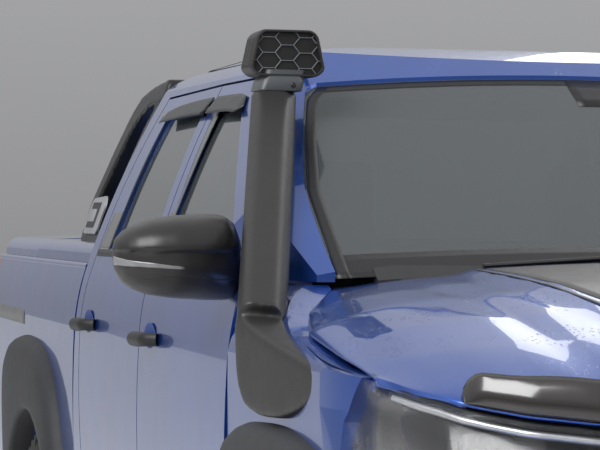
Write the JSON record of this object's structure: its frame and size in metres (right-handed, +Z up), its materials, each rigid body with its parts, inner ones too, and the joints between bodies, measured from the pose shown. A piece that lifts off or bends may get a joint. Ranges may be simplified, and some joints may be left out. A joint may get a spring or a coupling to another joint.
{
  "type": "lifted dual-cab off-road pickup",
  "caption": "Lifted dual-cab off-road pickup with opening doors, bonnet, tailgate and hard lid, steered front wheels, snorkel, sports bar and arch flares.",
  "frame": {"origin": "centre of the bounding box's base, on the ground under the tyres", "axes": "nose along -Y, left side along +X, +Z up"},
  "size_m": [2.2362, 5.33, 1.8821],
  "materials": {
    "body_paint": "metallic blue, clear coat",
    "chassis_black": "satin black",
    "engine_metal": "rough cast",
    "dark_plastic": "fine grain",
    "flare_plastic": "grained dark grey",
    "snorkel_plastic": "textured dark grey",
    "mirror_shell": "fine grain dark grey",
    "trim_plastic": "soft grain",
    "protector_acrylic": "dark smoke",
    "bar_black": "textured black powder coat",
    "exhaust_steel": "dull",
    "tyre_rubber": "matte rubber",
    "rim_alloy": "dark machined alloy",
    "tinted_glass": "smoke tint",
    "lamp_lens": "clear lens over a dark reflector",
    "seat_fabric": "dark cloth"
  },
  "bodies": {
    "chassis": {"ladder_frame": "chassis_black", "engine_block": "engine_metal", "front_suspension": "chassis_black", "front_drive": "engine_metal", "rear_axle": "chassis_black", "leaf_springs": "chassis_black", "fuel_tank": "dark_plastic", "exhaust": "exhaust_steel", "spare_wheel": "tyre_rubber", "cab_shell": "body_paint", "cab_glass": "tinted_glass", "front_guards": "body_paint", "arch_flares": "flare_plastic", "front_bumper": "body_paint", "grille": "dark_plastic", "lamps": "lamp_lens", "cowl": "dark_plastic", "snorkel": "snorkel_plastic", "snorkel_head": "snorkel_plastic", "tub": "body_paint", "deck_rails": "body_paint", "sports_bar": "bar_black", "side_steps": "bar_black", "rear_bumper": "bar_black", "dashboard": "trim_plastic", "seats": "seat_fabric"},
    "door_front_left": {"door_front_left": "body_paint", "door_front_left_glass": "tinted_glass", "mirror_left": "mirror_shell"},
    "door_rear_left": {"door_rear_left": "body_paint", "door_rear_left_glass": "tinted_glass"},
    "door_front_right": {"door_front_right": "body_paint", "door_front_right_glass": "tinted_glass", "mirror_right": "mirror_shell"},
    "door_rear_right": {"door_rear_right": "body_paint", "door_rear_right_glass": "tinted_glass"},
    "bonnet": {"bonnet": "body_paint", "bonnet_protector": "protector_acrylic"},
    "tailgate": {"tailgate": "body_paint"},
    "hard_lid": {"hard_lid": "body_paint"},
    "knuckle_left": {"knuckle_left": "chassis_black"},
    "knuckle_right": {"knuckle_right": "chassis_black"},
    "wheel_front_left": {"tyre_front_left": "tyre_rubber", "rim_front_left": "rim_alloy"},
    "wheel_front_right": {"tyre_front_right": "tyre_rubber", "rim_front_right": "rim_alloy"},
    "wheel_rear_left": {"tyre_rear_left": "tyre_rubber", "rim_rear_left": "rim_alloy"},
    "wheel_rear_right": {"tyre_rear_right": "tyre_rubber", "rim_rear_right": "rim_alloy"}
  },
  "joints": [
    {"name": "door_front_left_hinge", "type": "hinge", "parent": "chassis", "child": "door_front_left", "pos_m": [0.901, -1.095, 0.977], "axis": [0, 0, -1], "range_deg": [0, 66]},
    {"name": "door_rear_left_hinge", "type": "hinge", "parent": "chassis", "child": "door_rear_left", "pos_m": [0.901, -0.153, 0.977], "axis": [0, 0, -1], "range_deg": [0, 66]},
    {"name": "door_front_right_hinge", "type": "hinge", "parent": "chassis", "child": "door_front_right", "pos_m": [-0.901, -1.095, 0.977], "axis": [0, 0, 1], "range_deg": [0, 66]},
    {"name": "door_rear_right_hinge", "type": "hinge", "parent": "chassis", "child": "door_rear_right", "pos_m": [-0.901, -0.153, 0.977], "axis": [0, 0, 1], "range_deg": [0, 66]},
    {"name": "bonnet_hinge", "type": "hinge", "parent": "chassis", "child": "bonnet", "pos_m": [0, -1.282, 1.383], "axis": [-1, 0, 0], "range_deg": [0, 50]},
    {"name": "tailgate_hinge", "type": "hinge", "parent": "chassis", "child": "tailgate", "pos_m": [0, 2.578, 0.705], "axis": [-1, 0, 0], "range_deg": [0, 88]},
    {"name": "hard_lid_hinge", "type": "hinge", "parent": "chassis", "child": "hard_lid", "pos_m": [0, 1.346, 1.414], "axis": [1, 0, 0], "range_deg": [0, 40]},
    {"name": "steer_left", "type": "hinge", "parent": "chassis", "child": "knuckle_left", "pos_m": [0.692, -1.68, 0.4155], "axis": [0, 0, 1], "range_deg": [-30, 30]},
    {"name": "steer_right", "type": "hinge", "parent": "chassis", "child": "knuckle_right", "pos_m": [-0.692, -1.68, 0.4155], "axis": [0, 0, 1], "range_deg": [-30, 30]},
    {"name": "spin_front_left", "type": "hinge", "parent": "knuckle_left", "child": "wheel_front_left", "pos_m": [0.7675, -1.68, 0.4155], "axis": [1, 0, 0], "continuous": true},
    {"name": "spin_front_right", "type": "hinge", "parent": "knuckle_right", "child": "wheel_front_right", "pos_m": [-0.7675, -1.68, 0.4155], "axis": [1, 0, 0], "continuous": true},
    {"name": "spin_rear_left", "type": "hinge", "parent": "chassis", "child": "wheel_rear_left", "pos_m": [0.775, 1.405, 0.4155], "axis": [1, 0, 0], "continuous": true},
    {"name": "spin_rear_right", "type": "hinge", "parent": "chassis", "child": "wheel_rear_right", "pos_m": [-0.775, 1.405, 0.4155], "axis": [1, 0, 0], "continuous": true}
  ],
  "couplings": [
    {"joint": "steer_right", "follows": "steer_left", "ratio": 1}
  ]
}
